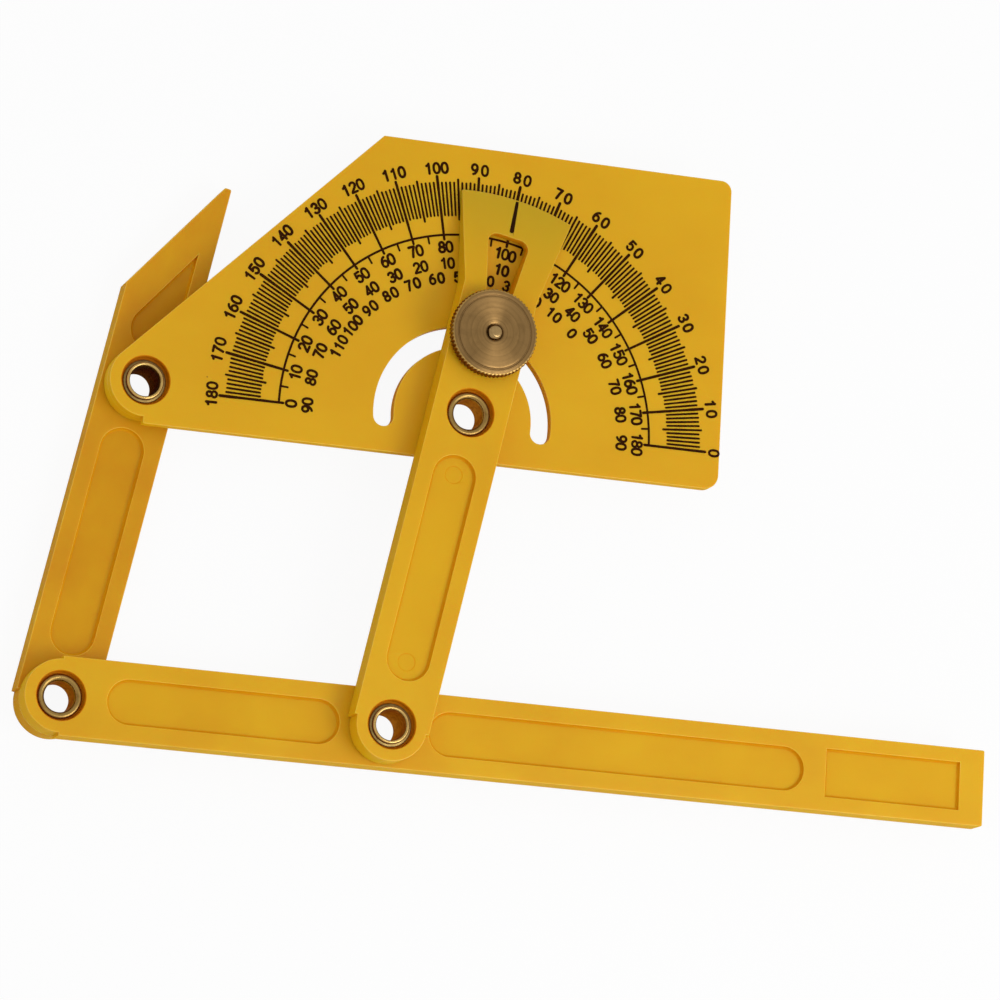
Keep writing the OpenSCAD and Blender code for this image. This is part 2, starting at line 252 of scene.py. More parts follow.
class Shell:
    """Rings of points in millimetres that become one closed mesh."""

    def __init__(self):
        self.points, self.faces, self.slots = [], [], []

    def ring(self, points):
        first = len(self.points)
        self.points += [Vector(p) for p in points]
        return list(range(first, len(self.points)))

    def face(self, indices, slot=0):
        self.faces.append(tuple(indices))
        self.slots.append(slot)

    def strip(self, upper, lower, slot=0):
        """A closed band of faces between two rings."""
        n = len(upper)
        for i in range(n):
            j = (i + 1) % n
            self.face((upper[i], lower[i], lower[j], upper[j]), slot)

    def walk(self, loop, steps, hold=()):
        """Lays rings down one wall; a step is (offset, height, slot)."""
        rings = []
        for d, z, _ in steps:
            flat = offset(loop, d, hold)
            rings.append(self.ring([(p.x, p.y, z(p.x) if callable(z) else z) for p in flat]))
        for a, b, step in zip(rings, rings[1:], steps[1:]):
            self.strip(a, b, step[2])
        return rings[0], rings[-1]

    def turn(self, profile, at=(0, 0), n=72, slot=0, closed=False, shape=None):
        """Turns a profile of (radius, height) that runs down a hole or up an outside."""
        rings = []
        for k, (r, z) in enumerate(profile):
            ring = []
            for i in range(n):
                a = -math.tau * i / n
                q, h = shape(r, z, a, k) if shape else (r, z)
                ring.append((at[0] + q * math.cos(a), at[1] + q * math.sin(a), h))
            rings.append(self.ring(ring))
        for a, b in zip(rings, rings[1:] + (rings[:1] if closed else [])):
            self.strip(a, b, slot)
        return rings[0], rings[-1]

    def cap(self, loops, up, slot=0, crease=()):
        """Fills the space between loops with triangles. crease joins points where the face bends."""
        index = [i for loop in loops for i in loop]
        flat = [Vector(self.points[i][:2]) for i in index]
        edges, first = [], 0
        for loop in loops:
            n = len(loop)
            edges += [(first + i, first + (i + 1) % n) for i in range(n)]
            first += n
        edges += [(index.index(a), index.index(b)) for a, b in crease]
        verts, _, faces, origin, _, _ = delaunay_2d_cdt(flat, edges, [], 0, 1e-7)
        for f in faces:
            middle = sum((verts[i] for i in f), Vector((0, 0))) / len(f)
            if not inside(middle, flat, edges[:len(flat)]):
                continue
            ids = [index[origin[i][0]] for i in f]
            a, b, c = (self.points[i] for i in ids[:3])
            area = (b.x - a.x) * (c.y - a.y) - (b.y - a.y) * (c.x - a.x)
            self.face(ids if (area > 0) == up else turned(ids), slot)

    def middles(self):
        """Number and middle of each face, where all have four corners."""
        for i, f in enumerate(self.faces):
            yield i, sum((self.points[v] for v in f), Vector()) / 4

    def object(self, name, materials, place=Matrix.Identity(4), smooth=True, spin=0.0):
        mesh = bpy.data.meshes.new(name)
        mesh.from_pydata([p * MM for p in self.points], [], self.faces)
        mesh.transform(Matrix.Rotation(spin, 4, "Z"))
        for m in materials:
            mesh.materials.append(m)
        mesh.polygons.foreach_set("material_index", self.slots)
        mesh.polygons.foreach_set("use_smooth", [smooth] * len(mesh.polygons))
        mesh.update()
        if smooth:
            mesh.set_sharp_from_angle(angle=math.radians(40))
        o = add(name, mesh)
        o.matrix_world = place
        if smooth:
            mod = o.modifiers.new("weighted", "WEIGHTED_NORMAL")
            mod.weight = 60
            mod.keep_sharp = True
        return o


def place(at, z=0.0):
    return Matrix.Translation((at[0] * MM, at[1] * MM, z * MM))


# Wall profiles; a step of a wall is its offset, its height and its finish
# The edge slot takes a lighter yellow: a painted highlight along the rims and in the index groove.
# The hollow slot takes a darker, more orange yellow: painted shade on the walls of pockets, slots and the
# window, and in the pin marks.
# The well slot takes a still darker orange: painted shade in the pivot holes and their recesses.
FACE, HIGHLIGHT_EDGE, WALL, FLOOR, SHADED_HOLLOW, SHADED_WELL = range(6)
QUARTER = [math.pi / 2 * i / 4 for i in range(5)]


def above(z, dz):
    """A height, or a height that varies along x, raised by dz."""
    return (lambda x: z(x) + dz) if callable(z) else z + dz


def rim_down(z, r):
    """From the upper face round the rim on to the wall."""
    return [(r * (1 - math.sin(a)), above(z, -r * (1 - math.cos(a))), HIGHLIGHT_EDGE) for a in QUARTER]


def rim_up(z, r, wall=WALL):
    """From the wall round the rim on to the lower face."""
    return [(r * (1 - math.sin(a)), z + r * (1 - math.cos(a)), wall if i == 0 else HIGHLIGHT_EDGE)
            for i, a in enumerate(turned(QUARTER))]


def pocket_down(z):
    """From the upper face down the drafted wall of a pocket to its floor."""
    floor = z - POCKET_DEPTH
    return rim_down(z, POCKET_RIM) + [
        (-DRAFT - FILLET * (1 - math.cos(a)), floor + FILLET * (1 - math.sin(a)), SHADED_HOLLOW) for a in QUARTER]


def pocket_up(z):
    """From the inside of a pocket in the lower face down to that face."""
    ceiling = z + POCKET_DEPTH
    return [(-DRAFT - FILLET * (1 - math.cos(a)), ceiling - FILLET * (1 - math.sin(a)), SHADED_HOLLOW)
            for a in turned(QUARTER)] + rim_up(z, POCKET_RIM, SHADED_HOLLOW)


def lip(r, z, edge, sign):
    """The round edge where a hole meets a level face; sign is -1 at an upper face."""
    return [(r + edge * (1 - math.sin(a)), z + sign * edge * (1 - math.cos(a))) for a in QUARTER]


def cove(r, z, sign):
    """The corner between the wall of a recess and its floor."""
    return [(r - HOLE_EDGE * (1 - math.cos(a)), z + sign * HOLE_EDGE * (1 - math.sin(a))) for a in QUARTER]


def chamfer(r, z, sign):
    """The small edge where a hole leaves a floor or a face."""
    return [(r + HOLE_EDGE, z), (r + HOLE_ROUND, z + sign * HOLE_ROUND), (r, z + sign * HOLE_EDGE)]


def bore(top, bottom, r, up=0.0, down=0.0):
    """A pivot hole with a recess above or below it, from the upper face to the lower."""
    if up:
        path = lip(RECESS_R, top, RIM, -1) + cove(RECESS_R, top - up, 1) + chamfer(r, top - up, -1)
    else:
        path = lip(r, top, HOLE_EDGE, -1)
    if down:
        path += turned(chamfer(r, bottom + down, 1)) + turned(cove(RECESS_R, bottom + down, -1))
        return path + turned(lip(RECESS_R, bottom, RIM_BACK, 1))
    return path + turned(lip(r, bottom, HOLE_EDGE, 1))


def slab(outer, top, bottom, holes=(), pockets=(), bores=(), grooves=(), crease_x=None):
    """One moulded arm: outline, through holes, pockets in both faces, pivot holes and grooves on top."""
    shell = Shell()
    up_loops, down_loops = [], []
    for i, loop in enumerate([outer, *holes]):
        a, b = shell.walk(loop, rim_down(top, RIM) + rim_up(bottom, RIM_BACK, SHADED_HOLLOW if i else WALL))
        up_loops.append(a)
        down_loops.append(b)
    level = top(0) if callable(top) else top
    for loop, marks in pockets:
        a, b = shell.walk(loop, pocket_down(level))
        up_loops.append(a)
        pocket_floor(shell, b, level - POCKET_DEPTH, marks, True)
        a, b = shell.walk(loop, pocket_up(bottom))
        down_loops.append(b)
        pocket_floor(shell, a, bottom + POCKET_DEPTH, marks, False)
    for at, path in bores:
        a, b = shell.turn(path, at, slot=SHADED_WELL)
        up_loops.append(a)
        down_loops.append(b)
    for loop, depth in grooves:
        steps = [(0.06, above(top, 0), FACE), (0.0, above(top, -0.06), HIGHLIGHT_EDGE),
                 (-0.1, above(top, -depth), HIGHLIGHT_EDGE)]
        a, b = shell.walk(loop, steps)
        up_loops.append(a)
        shell.cap([b], True, HIGHLIGHT_EDGE)
    crease = []
    if crease_x is not None:
        # The face bends along this line, from the outline to the window on either side
        on = sorted((shell.points[i].y, i) for loop in up_loops[:2] for i in loop
                    if abs(shell.points[i].x - crease_x) < 0.2)
        crease = [(on[0][1], on[1][1]), (on[2][1], on[3][1])]
    shell.cap(up_loops, True, FACE, crease)
    shell.cap(down_loops, False, FACE)
    return shell


def pocket_floor(shell, ring, z, marks, up):
    """The floor of a pocket with the round marks of the ejector pins."""
    sign = -1 if up else 1
    loops = [ring]
    for at in marks:
        path = [(PIN_R + 0.12, z), (PIN_R, z + sign * 0.05), (PIN_R - 0.1, z + sign * PIN_DEPTH)]
        if not up:
            path = turned(path)
        a, b = shell.turn(path, at, 40, SHADED_HOLLOW)
        outer, inner = (a, b) if up else (b, a)
        loops.append(outer)
        shell.face(turned(inner) if up else inner, FLOOR)
    shell.cap(loops, up, FLOOR)


# Materials
def srgb(r, g, b):
    """A colour written in screen values from 0 to 255."""
    linear = [((c / 255 + 0.055) / 1.055) ** 2.4 if c > 10 else c / 255 / 12.92 for c in (r, g, b)]
    return (*linear, 1.0)


YELLOW = srgb(226, 175, 22)
AMBER = srgb(221, 165, 18)
# Lighter yellow of the rims and the index groove: a painted highlight.
EDGE_PAINTED_HIGHLIGHT = srgb(235, 187, 42)
# Darker, more orange yellows of pocket, slot and window walls: painted shade.
HOLLOW_PAINTED_SHADE = (srgb(226, 160, 14), srgb(219, 148, 8))
# Darkest oranges, of the pivot holes and their recesses: painted shade.
WELL_PAINTED_SHADE = (srgb(207, 124, 4), srgb(192, 104, 0))
# Darker, more orange yellows of the pointed arm: painted shade, as it lies lowest and farthest left.
PAINTED_SHADE_TONES = (srgb(218, 160, 14), srgb(211, 146, 10))
# Darker, greener yellow at the tip of the pointer's head: painted shade for its slope.
HEAD_TIP_PAINTED_SHADE = srgb(199, 161, 24)
SPECK = srgb(96, 62, 20)
BRASS = srgb(160, 128, 70)
BRASS_DULL = srgb(104, 78, 38)

# Share of light that enters the plastic, and how far its red, green and blue spread
PLASTIC_DEEP = 0.4
PLASTIC_SPREAD = (3.0 * MM, 1.0 * MM, 0.12 * MM)
NYLON_DEEP = 0.15
NYLON_SPREAD = (0.6 * MM, 0.5 * MM, 0.4 * MM)


# Sockets of the mix node for colours
MIX_A, MIX_B, MIX_RESULT = 6, 7, 2


def feed(tree, value, socket):
    """Sets a plain value on a socket, or links an output to it."""
    if isinstance(value, (int, float, tuple)):
        socket.default_value = value
    else:
        tree.links.new(value, socket)


def new_node(tree, kind, inputs, **settings):
    """Outputs of a new node with these settings and inputs."""
    n = tree.nodes.new(kind)
    for key, value in settings.items():
        setattr(n, key, value)
    for key, value in inputs.items():
        feed(tree, value, n.inputs[key])
    return n.outputs


class Look:
    """Short names for the nodes of one material."""

    def __init__(self, name):
        self.material = bpy.data.materials.new(name)
        self.material.use_nodes = True
        self.tree = self.material.node_tree
        self.shader = self.tree.nodes["Principled BSDF"]
        self.where = self.node("ShaderNodeTexCoord", {})["Object"]

    def node(self, kind, inputs, **settings):
        return new_node(self.tree, kind, inputs, **settings)

    def scaled(self, x, y, z, turn=0.0):
        """Object coordinates along a direction, times a number of repeats for each millimetre."""
        inputs = {"Scale": (MM / x, MM / y, MM / z), "Rotation": (0, 0, turn), "Vector": self.where}
        return self.node("ShaderNodeMapping", inputs, vector_type="TEXTURE")["Vector"]

    def noise(self, vector, scale=1.0, detail=3.0, rough=0.5, distort=0.0):
        return self.node("ShaderNodeTexNoise", {"Vector": vector, "Scale": scale, "Detail": detail,
                                                "Roughness": rough, "Distortion": distort})["Fac"]

    def span(self, value, a, b, c, d):
        """Maps the range from a to b on to the range from c to d."""
        inputs = {"Value": value, "From Min": a, "From Max": b, "To Min": c, "To Max": d}
        return self.node("ShaderNodeMapRange", inputs, clamp=True)["Result"]

    def split(self, vector):
        return self.node("ShaderNodeSeparateXYZ", {"Vector": vector})

    def math(self, kind, a, b):
        return self.node("ShaderNodeMath", {0: a, 1: b}, operation=kind)["Value"]

    def mix(self, factor, a, b):
        inputs = {"Factor": factor, MIX_A: a, MIX_B: b}
        return self.node("ShaderNodeMix", inputs, data_type="RGBA")[MIX_RESULT]

    def bump(self, height, distance, below=None):
        """Relief with its depth in millimetres, over another relief."""
        inputs = {"Strength": 1.0, "Distance": distance * MM, "Height": height}
        if below is not None:
            inputs["Normal"] = below
        return self.node("ShaderNodeBump", inputs)["Normal"]

    def set(self, **values):
        for key, value in values.items():
            feed(self.tree, value, self.shader.inputs[key.replace("_", " ")])


def plastic(name, seed, along, light, deep, rough, grain, scuffs, gloss, tip_shade):
    """Moulded plastic with flow marks, fine grain, scuffs and a few dark specks; tip_shade paints the
    pointer's head darker and greener towards its tip, painted shade for its slope.
    """
    k = Look(name)
    wide = k.noise(k.scaled(0.018, 0.018, 0.018), 1 + seed, 2)
    flow = k.noise(k.scaled(0.03, 0.08, 0.05, along), 1 + seed, 4, 0.6, 0.5)
    fine = k.noise(k.scaled(1, 1, 1), 2.4, 4, 0.6)
    tone = k.math("ADD", k.math("MULTIPLY", wide, 0.8), k.math("MULTIPLY", flow, 0.2))
    colour = k.mix(k.span(tone, 0.36, 0.64, 0, 1), light, deep)
    spots = k.node("ShaderNodeTexVoronoi", {"Scale": 0.085, "Vector": k.scaled(1, 1, 1, seed)})
    spot = k.span(spots["Distance"], 0.014, 0.02, 1, 0)
    pick = k.node("ShaderNodeSeparateColor", {"Color": spots["Color"]})["Red"]
    spot = k.math("MULTIPLY", spot, k.span(pick, 0.55, 0.6, 0, 0.75))
    colour = k.mix(spot, colour, SPECK)
    # Painted shade: the sloping head of the pointer grows darker and greener towards its tip.
    if tip_shade:
        out = k.split(k.scaled(1, 1, 1, along))["X"]
        colour = k.mix(k.span(out, HEAD_START - 3, HEAD_R, 0, 1), colour, HEAD_TIP_PAINTED_SHADE)
    scratch_a = k.noise(k.scaled(0.05, 2.2, 0.4, along + 0.12), 1, 2, 0.5, 0.2)
    scratch_b = k.noise(k.scaled(0.045, 1.9, 0.4, along + 1.9), 1, 2, 0.5, 0.2)
    scratch = k.math("ADD", k.span(scratch_a, 0.7, 0.78, 0, 1), k.span(scratch_b, 0.7, 0.78, 0, 1))
    rub = k.noise(k.scaled(0.07, 0.07, 0.07), 1.3 + seed, 5, 0.65)
    roughness = k.math("ADD", k.span(fine, 0.3, 0.7, *rough), k.math("MULTIPLY", scratch, 0.08 * scuffs))
    roughness = k.math("ADD", roughness, k.span(rub, 0.5, 0.75, 0, 0.12 * scuffs))
    normal = k.bump(k.noise(k.scaled(0.06, 0.06, 0.06), 1, 2), 0.12)
    normal = k.bump(fine, grain, normal)
    normal = k.bump(k.math("MULTIPLY", scratch, -1.0), 0.004 * scuffs, normal)
    k.set(Base_Color=colour, Roughness=roughness, Normal=normal, Specular_IOR_Level=gloss,
          Subsurface_Weight=PLASTIC_DEEP, Subsurface_Radius=PLASTIC_SPREAD, Subsurface_Scale=1.0)
    return k.material


def plastic_set(name, seed, along=0.0, light=YELLOW, deep=AMBER, tip_shade=False):
    """Six finishes of one moulding, in the order of the slot numbers from the face on; the edge finish is a
    painted highlight, the hollow and well finishes are painted shade.
    """
    # The edge row is lighter as a painted highlight; the hollow and well rows are darker, more orange copies
    # as painted shade.
    kinds = (("", light, deep, (0.34, 0.48), 0.006, 1.0, 0.15, tip_shade),
             ("_edge_painted_highlight", EDGE_PAINTED_HIGHLIGHT, light, (0.3, 0.42), 0.004, 1.6, 0.34, tip_shade),
             ("_wall", light, deep, (0.5, 0.62), 0.008, 0.3, 0.03, tip_shade),
             ("_pocket", light, deep, (0.4, 0.54), 0.008, 0.4, 0.12, False),
             ("_hollow_painted_shade", *HOLLOW_PAINTED_SHADE, (0.5, 0.62), 0.008, 0.3, 0.05, False),
             ("_well_painted_shade", *WELL_PAINTED_SHADE, (0.5, 0.62), 0.008, 0.3, 0.05, False))
    return [plastic(name + ending, seed, along, *values) for ending, *values in kinds]


def brass(name, light, dark, rough, rings=0.0, aniso=0.0, tarnish=0.5, seed=0.0, pitch=0.16):
    """Turned brass: tool rings about the piece's own axis, dull patches and small dents."""
    k = Look(name)
    patch = k.noise(k.scaled(0.22, 0.22, 0.22), 1 + seed, 5, 0.6, 0.6)
    fine = k.noise(k.scaled(1, 1, 1), 5.0, 3, 0.6)
    dull = k.span(patch, 0.45, 0.68, 0, tarnish)
    colour = k.mix(dull, light, dark)
    colour = k.mix(k.span(fine, 0.62, 0.75, 0, 0.25), colour, dark)
    roughness = k.math("ADD", k.span(fine, 0.3, 0.7, *rough), k.math("MULTIPLY", dull, 0.25))
    normal = k.bump(k.noise(k.scaled(0.8, 0.8, 0.8), 1, 3), 0.012)
    if rings:
        out = k.split(k.scaled(1, 1, 1))
        xx, yy = (k.math("MULTIPLY", out[axis], out[axis]) for axis in "XY")
        radius = k.math("POWER", k.math("ADD", xx, yy), 0.5)
        groove = k.noise(ring_vector(k, radius, 1 / pitch), 1, 6, 0.75)
        coarse = k.noise(ring_vector(k, radius, 0.9), 1, 2, 0.5)
        normal = k.bump(groove, rings, normal)
        normal = k.bump(coarse, rings * 2.0, normal)
        colour = k.mix(k.span(groove, 0.46, 0.62, 0, 0.5), colour, dark)
    k.set(Base_Color=colour, Roughness=roughness, Normal=normal, Metallic=1.0, Specular_Tint=light)
    if aniso:
        tangent = k.node("ShaderNodeTangent", {}, direction_type="RADIAL", axis="Z")["Tangent"]
        k.set(Anisotropic=aniso, Anisotropic_Rotation=0.25, Tangent=tangent)
    return k.material


def ring_vector(k, radius, scale):
    """A vector that varies with the radius alone, so that its noise makes rings."""
    return k.node("ShaderNodeCombineXYZ", {"X": k.math("MULTIPLY", radius, scale)})["Vector"]


def ink(name, dark, worn):
    """Printed ink with uneven cover."""
    k = Look(name)
    cover = k.noise(k.scaled(1, 1, 1), 1.7, 5, 0.7)
    broad = k.noise(k.scaled(0.05, 0.05, 0.05), 1, 2)
    fade = k.math("MULTIPLY", k.span(cover, 0.5, 0.72, 0, 1), k.span(broad, 0.4, 0.65, 0.25, 0.8))
    k.set(Base_Color=k.mix(fade, dark, worn), Roughness=k.span(cover, 0.3, 0.7, 0.45, 0.65),
          Normal=k.bump(cover, 0.01), Specular_IOR_Level=0.03)
    return k.material


def nylon(name, colour, shade):
    """White nylon with cloudy patches."""
    k = Look(name)
    cloud = k.noise(k.scaled(0.3, 0.3, 0.3), 1, 4)
    fine = k.noise(k.scaled(1, 1, 1), 4, 3)
    k.set(Base_Color=k.mix(k.span(cloud, 0.35, 0.65, 0, 1), colour, shade),
          Roughness=k.span(fine, 0.3, 0.7, 0.38, 0.6), Normal=k.bump(fine, 0.01),
          Subsurface_Weight=NYLON_DEEP, Subsurface_Radius=NYLON_SPREAD, Subsurface_Scale=1.0)
    return k.material


# Plate
def plate_piece():
    """The flat plate with its slot, and the thicker round nose at its left corner."""
    corner = NOSE + END_R * Vector((-math.cos(math.pi / 4), math.sin(math.pi / 4)))
    left = arc(NOSE, END_R, *rad(135, 270), 30)
    right = arc(NOSE, END_R, *rad(270, 495), 50)[1:-1]
    sharp = Vector((corner.x + PLATE_RISE - corner.y, PLATE_RISE))
    body = [Vector((-PIVOT, -PLATE_DROP))]
    body += arc((PLATE_REACH - BOTTOM_CORNER, BOTTOM_CORNER - PLATE_DROP), BOTTOM_CORNER, *rad(-90, 0), 10)
    body += arc((PLATE_REACH - TOP_CORNER, PLATE_RISE - TOP_CORNER), TOP_CORNER, *rad(0, 90), 10)
    body += [sharp]
    along = (left[0] - sharp).normalized()
    body += [left[0] - along * 4.5, left[0] - along * 2.3]
    outer = soften(body + left, CORNER)
    straight = len(outer) - len(left)
    hold = set(range(straight - 1, len(outer)))
    end = math.pi + SLOT_EXTRA
    ends = [Vector((SLOT_R * math.cos(a), SLOT_R * math.sin(a))) for a in (end, -SLOT_EXTRA)]
    slot = turned(arc((0, 0), SLOT_R + SLOT_W / 2, -SLOT_EXTRA, end, 80)
                  + arc(ends[0], SLOT_W / 2, end, end + math.pi, 14)[1:-1]
                  + arc((0, 0), SLOT_R - SLOT_W / 2, end, -SLOT_EXTRA, 80)
                  + arc(ends[1], SLOT_W / 2, math.pi - SLOT_EXTRA, math.tau - SLOT_EXTRA, 14)[1:-1])
    shell = Shell()
    a, b = shell.walk(outer, rim_down(0.0, RIM))
    c, under = shell.walk(outer, rim_up(-PLATE_T, RIM_BACK), hold)
    shell.strip(b, c, WALL)
    slot_a, slot_b = shell.walk(slot, rim_down(0.0, RIM) + rim_up(-PLATE_T, RIM_BACK, SHADED_HOLLOW))
    nose_a, nose_b = shell.turn(bore(0.0, MIDDLE_Z, TUBE_R + SNUG, up=RECESS_DEPTH), NOSE, slot=SHADED_WELL)
    hub_a, hub_b = shell.turn(bore(0.0, -PLATE_T, TUBE_R + SNUG, down=PLATE_RECESS), slot=SHADED_WELL)
    shell.cap([a, slot_a, nose_a, hub_a], True, FACE)
    inner = shell.ring([(p.x, p.y, -PLATE_T) for p in right])
    left_ids = under[straight:]
    marks = []
    for at in PLATE_PINS:
        path = [(PIN_R, -PLATE_T + PIN_DEPTH), (PIN_R + 0.04, -PLATE_T + 0.04), (PIN_R + 0.1, -PLATE_T)]
        p, q = shell.turn(path, at, 40, FACE)
        shell.face(p, FACE)
        marks.append(q)
    back = under[:straight] + [left_ids[0]] + turned(inner) + [left_ids[-1]]
    shell.cap([back, slot_b, hub_b, *marks], False, FACE)
    circle_ids = left_ids + inner
    loop = [Vector(shell.points[i][:2]) for i in circle_ids]
    p, q = shell.walk(loop, rim_up(MIDDLE_Z, RIM_BACK))
    shell.strip(circle_ids, p, WALL)
    shell.cap([q, nose_b], False, FACE)
    return shell


# Arms
def bar(reach):
    """Outline of a bar with one round end, which is a little narrower than the bar."""
    half = ARM_W / 2
    loop = arc((0, 0), END_R, *rad(90, 270), 48)
    loop += line((0, -half), (reach, -half), (reach, half), (0, half))
    return soften(loop, CORNER)


def box_loop(x0, x1, w):
    half = w / 2
    return line((x0, half), (x1, half), (x1, -half), (x0, -half))


def pins(x0, x1):
    return [(x0 + PIN_INSET, 0), (x1 - PIN_INSET, 0)]


def window_loop():
    """Hole of the pointer's head: wide and round at its outer end, narrower under the thumb nut."""
    wide, neck, r = WINDOW_W / 2, WINDOW_NECK / 2, WINDOW_CORNER
    tilt = math.atan((wide - neck) / (WINDOW_END - WINDOW_START))
    high = wide - r / math.cos(tilt) - r * math.tan(tilt)
    low = neck - r / math.cos(tilt) + r * math.tan(tilt)
    side = neck + (HEAD_START - WINDOW_START) * math.tan(tilt)
    quarter = math.pi / 2
    window = (arc((WINDOW_END - r, high), r, 0, quarter + tilt, 10)
              + [Vector((HEAD_START, side))]
              + arc((WINDOW_START + r, low), r, quarter + tilt, math.pi, 8)
              + arc((WINDOW_START + r, -low), r, math.pi, 3 * quarter - tilt, 8)
              + [Vector((HEAD_START, -side))]
              + arc((WINDOW_END - r, -high), r, 3 * quarter - tilt, math.tau, 10))
    return turned([Vector((p.x, p.y + WINDOW_SHIFT)) for p in window])


def pointer_piece():
    """The pointer arm along x, its centre hole at zero, and the height of its upper face."""
    half = ARM_W / 2
    slope = (ARM_T - HEAD_TIP_T) / (HEAD_R - HEAD_START)
    lean = math.tan(HEAD_FLARE)
    # Where the flared side meets the arc of the head: x*x + (half + (x - start) * lean)**2 = r*r
    c = half - HEAD_START * lean
    qa, qb, qc = 1 + lean * lean, 2 * lean * c, c * c - HEAD_R * HEAD_R
    x = (-qb + math.sqrt(qb * qb - 4 * qa * qc)) / (2 * qa)
    spread = math.atan2(c + x * lean, x)
    loop = arc((-PIVOT, 0), END_R, *rad(90, 270), 48)
    loop += line((-PIVOT, -half), (HEAD_START, -half))
    loop += arc((0, 0), HEAD_R, -spread, spread, 28)
    loop += line((HEAD_START, half), (-PIVOT, half))
    loop = soften(loop, CORNER)

    def top(x):
        return TOP_FACE - max(0.0, x - HEAD_START) * slope

    start, stop = POCKET_MARGIN - PIVOT, -POCKET_MARGIN
    hole_r = SHANK_R + LOOSE
    bolt = chamfer(hole_r, TOP_FACE, -1) + turned(chamfer(hole_r, TOP_Z, 1))
    index = line((INDEX_START, INDEX_HALF_START), (INDEX_STOP, INDEX_HALF_STOP),
                 (INDEX_STOP, -INDEX_HALF_STOP), (INDEX_START, -INDEX_HALF_START))
    index = [Vector((p.x, p.y + INDEX_SIDE)) for p in soften(index, INDEX_CORNER)]
    return slab(loop, top, TOP_Z, [window_loop()],
                [(stadium(start, stop), pins(start, stop))],
                [((0, 0), bore(TOP_FACE, TOP_Z, TUBE_R + RUNNING, up=RECESS_DEPTH)),
                 ((-PIVOT, 0), bore(TOP_FACE, TOP_Z, TUBE_R + SNUG, up=RECESS_DEPTH)),
                 ((SLOT_R, 0), bolt)],
                [(index, INDEX_DEPTH)], HEAD_START), top


def long_piece():
    """The long arm along x, its tail hole at zero."""
    square = PIVOT + LONG_REACH - END_POCKET_INSET - END_POCKET_L
    ends = [(POCKET_MARGIN, PIVOT - POCKET_MARGIN), (PIVOT + POCKET_MARGIN, square - POCKET_BRIDGE)]
    pockets = [(stadium(a, b), []) for a, b in ends]
    pockets.append((box_loop(square, PIVOT + LONG_REACH - END_POCKET_INSET, END_POCKET_W), []))
    return slab(bar(PIVOT + LONG_REACH), 0.0, MIDDLE_Z, [], pockets,
                [((0, 0), bore(0.0, MIDDLE_Z, TUBE_R + LOOSE, up=RECESS_DEPTH)),
                 ((PIVOT, 0), bore(0.0, MIDDLE_Z, TUBE_R + RUNNING, down=BACK_RECESS))])


def pointed_piece():
    """The pointed arm along x, its tail hole at zero."""
    half = ARM_W / 2
    reach = PIVOT + POINTED_REACH
    run = (ARM_W - POINT_BLUNT) / math.tan(POINT_ANGLE)
    loop = arc((0, 0), END_R, *rad(90, 270), 48)
    loop += line((0, -half), (reach, -half), (reach, POINT_BLUNT - half), (reach - run, half), (0, half))
    loop = soften(loop, CORNER)
    r = POINT_POCKET_W / 2
    at = PIVOT + POINT_POCKET_START + r
    tip = Vector((at + r * (1 + math.cos(POINT_ANGLE)) / math.sin(POINT_ANGLE), -r))
    pocket = turned(arc((at, 0), r, math.pi / 2 - POINT_ANGLE, 3 * math.pi / 2, 40) + [tip])
    top = LOW_Z + ARM_T
    start, stop = POCKET_MARGIN, PIVOT - POCKET_MARGIN
    return slab(loop, top, LOW_Z, [], [(stadium(start, stop), []), (pocket, [])],
                [((0, 0), bore(top, LOW_Z, TUBE_R + SNUG, down=TAIL_RECESS)),
                 ((PIVOT, 0), bore(top, LOW_Z, TUBE_R + RUNNING, down=BACK_RECESS))])


def dress(piece, body, node):
    """Lets a piece ride on its body and stand for its node."""
    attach(piece, body)
    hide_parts(node)


def carrier(node):
    return frame["nodes"][node]["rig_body"]


plate = plate_piece().object("plate_moulding", plastic_set("plate_plastic", 0.0))
dress(plate, "plate", "protractor_plate")
shell, head_z = pointer_piece()
pointer_looks = plastic_set("pointer_plastic", 0.7, ARM_ANGLE, tip_shade=True)
pointer = shell.object("pointer_moulding", pointer_looks, spin=ARM_ANGLE)
dress(pointer, "pointer", "pointer_arm")
long_arm = long_piece().object("long_moulding", plastic_set("long_plastic", 1.3), place(TAIL))
dress(long_arm, "long_arm", "long_arm")
# The pointed arm takes the painted shade tones.
pointed_looks = plastic_set("pointed_plastic", 1.9, ARM_ANGLE, *PAINTED_SHADE_TONES)
pointed = pointed_piece().object("pointed_moulding", pointed_looks, place(TAIL), spin=ARM_ANGLE)
dress(pointed, "pointed_arm", "pointed_arm")


